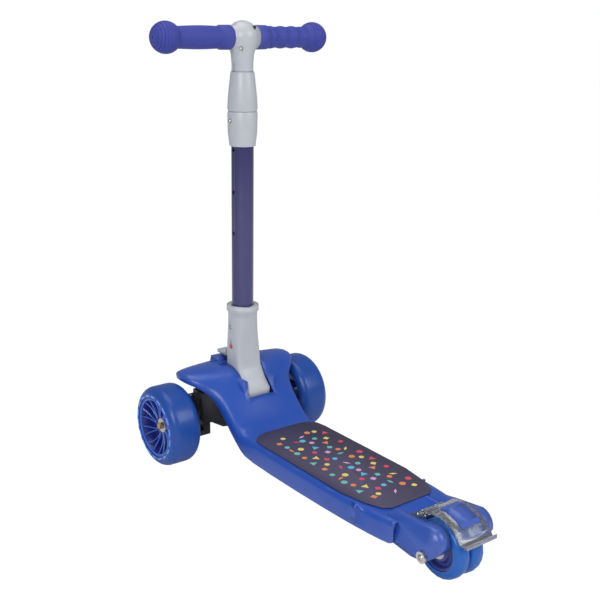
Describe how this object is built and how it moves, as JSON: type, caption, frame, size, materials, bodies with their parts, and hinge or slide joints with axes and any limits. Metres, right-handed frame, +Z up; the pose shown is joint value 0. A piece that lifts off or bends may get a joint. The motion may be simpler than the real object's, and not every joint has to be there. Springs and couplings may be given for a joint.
{
  "type": "folding kick scooter",
  "caption": "Folding kick scooter that steers by leaning: wide front wheels, paired rear wheels under a brake fender, and a raising T-handlebar on a stem that folds back.",
  "frame": {"origin": "on the floor under the centre of the bounding box", "axes": "+X forward, +Y to the rider's left, +Z up"},
  "size_m": [0.5806, 0.2866, 0.643],
  "materials": {
    "deck_blue": "glossy moulded blue",
    "grip_blue": "matt ribbed rubber",
    "tube_blue": "gloss ultramarine paint",
    "grey_plastic": "satin light grey",
    "tyre_blue": "smooth translucent urethane",
    "hub_blue": "moulded blue",
    "black_plastic": "matt black",
    "steel": "zinc plated",
    "red_plastic": "moulded red",
    "pad_rubber": "fine grain, matt",
    "clear_plastic": "clear moulding"
  },
  "bodies": {
    "deck": {"deck_shell": "deck_blue", "grip_pad": "pad_rubber", "front_beam": "black_plastic", "kingpin_left": "steel", "kingpin_right": "steel", "fold_pin": "steel", "latch_pin": "steel", "fender_pin": "steel", "rear_axle": "steel", "rear_nut_left": "steel", "rear_nut_right": "steel"},
    "stem": {"stem_base": "grey_plastic", "stem_tube": "tube_blue", "lower_collar": "grey_plastic", "base_screw": "steel"},
    "head": {"inner_tube": "steel", "upper_collar": "grey_plastic", "head_shell_front": "grey_plastic", "head_shell_rear": "grey_plastic", "head_screw_1": "steel", "head_screw_2": "steel", "handlebar_core": "steel", "grip_left": "grip_blue", "grip_right": "grip_blue"},
    "latch": {"fold_latch": "grey_plastic"},
    "lock_button": {"lock_button": "red_plastic"},
    "snap_button": {"snap_button": "steel"},
    "fender": {"brake_fender": "clear_plastic", "fender_insert": "deck_blue"},
    "tie_rod": {"tie_rod": "black_plastic"},
    "knuckle_left": {"knuckle_left": "black_plastic", "front_nut_left": "steel"},
    "front_wheel_left": {"front_tyre_left": "tyre_blue", "front_hub_left": "hub_blue", "front_left_bearing_inner": "steel", "front_left_bearing_outer": "steel"},
    "rear_wheel_left": {"rear_tyre_left": "tyre_blue", "rear_hub_left": "hub_blue", "rear_left_bearing_inner": "steel", "rear_left_bearing_outer": "steel"},
    "knuckle_right": {"knuckle_right": "black_plastic", "front_nut_right": "steel"},
    "front_wheel_right": {"front_tyre_right": "tyre_blue", "front_hub_right": "hub_blue", "front_right_bearing_inner": "steel", "front_right_bearing_outer": "steel"},
    "rear_wheel_right": {"rear_tyre_right": "tyre_blue", "rear_hub_right": "hub_blue", "rear_right_bearing_inner": "steel", "rear_right_bearing_outer": "steel"}
  },
  "joints": [
    {"name": "fold", "type": "hinge", "parent": "deck", "child": "stem", "pos_m": [0.17325, 0, 0.106], "axis": [0, -1, 0], "range_deg": [0, 86]},
    {"name": "height", "type": "slide", "parent": "stem", "child": "head", "axis": [0, 0, 1], "range_m": [0, 0.122]},
    {"name": "latch_pivot", "type": "hinge", "parent": "deck", "child": "latch", "pos_m": [0.23825, 0, 0.141], "axis": [0, 1, 0], "range_deg": [0, 10], "stiffness_Nm_per_rad": 0.1},
    {"name": "lock_press", "type": "slide", "parent": "stem", "child": "lock_button", "axis": [0, -1, 0], "range_m": [0, 0.003], "stiffness_N_per_m": 150},
    {"name": "snap_press", "type": "slide", "parent": "stem", "child": "snap_button", "axis": [0, -1, 0], "range_m": [0, 0.003], "stiffness_N_per_m": 150},
    {"name": "steer_left", "type": "hinge", "parent": "deck", "child": "knuckle_left", "pos_m": [0.23025, 0.077, 0.06], "axis": [0, 0, 1], "range_deg": [-12, 12], "stiffness_Nm_per_rad": 2},
    {"name": "steer_right", "type": "hinge", "parent": "deck", "child": "knuckle_right", "pos_m": [0.23025, -0.077, 0.06], "axis": [0, 0, 1], "range_deg": [-12, 12]},
    {"name": "tie_rod_pivot", "type": "hinge", "parent": "knuckle_left", "child": "tie_rod", "pos_m": [0.25225, 0.077, 0.057], "axis": [0, 0, 1], "range_deg": [-12, 12]},
    {"name": "brake", "type": "hinge", "parent": "deck", "child": "fender", "pos_m": [-0.20243, 0, 0.06755], "axis": [0, -1, 0], "range_deg": [0, 4], "stiffness_Nm_per_rad": 2},
    {"name": "front_spin_left", "type": "hinge", "parent": "knuckle_left", "child": "front_wheel_left", "pos_m": [0.23025, 0.1183, 0.06], "axis": [0, 1, 0], "continuous": true},
    {"name": "rear_spin_left", "type": "hinge", "parent": "deck", "child": "rear_wheel_left", "pos_m": [-0.24025, 0.01175, 0.038], "axis": [0, 1, 0], "continuous": true},
    {"name": "front_spin_right", "type": "hinge", "parent": "knuckle_right", "child": "front_wheel_right", "pos_m": [0.23025, -0.1183, 0.06], "axis": [0, 1, 0], "continuous": true},
    {"name": "rear_spin_right", "type": "hinge", "parent": "deck", "child": "rear_wheel_right", "pos_m": [-0.24025, -0.01175, 0.038], "axis": [0, 1, 0], "continuous": true}
  ],
  "couplings": [
    {"joint": "steer_right", "follows": "steer_left", "ratio": 1},
    {"joint": "tie_rod_pivot", "follows": "steer_left", "ratio": -1}
  ]
}
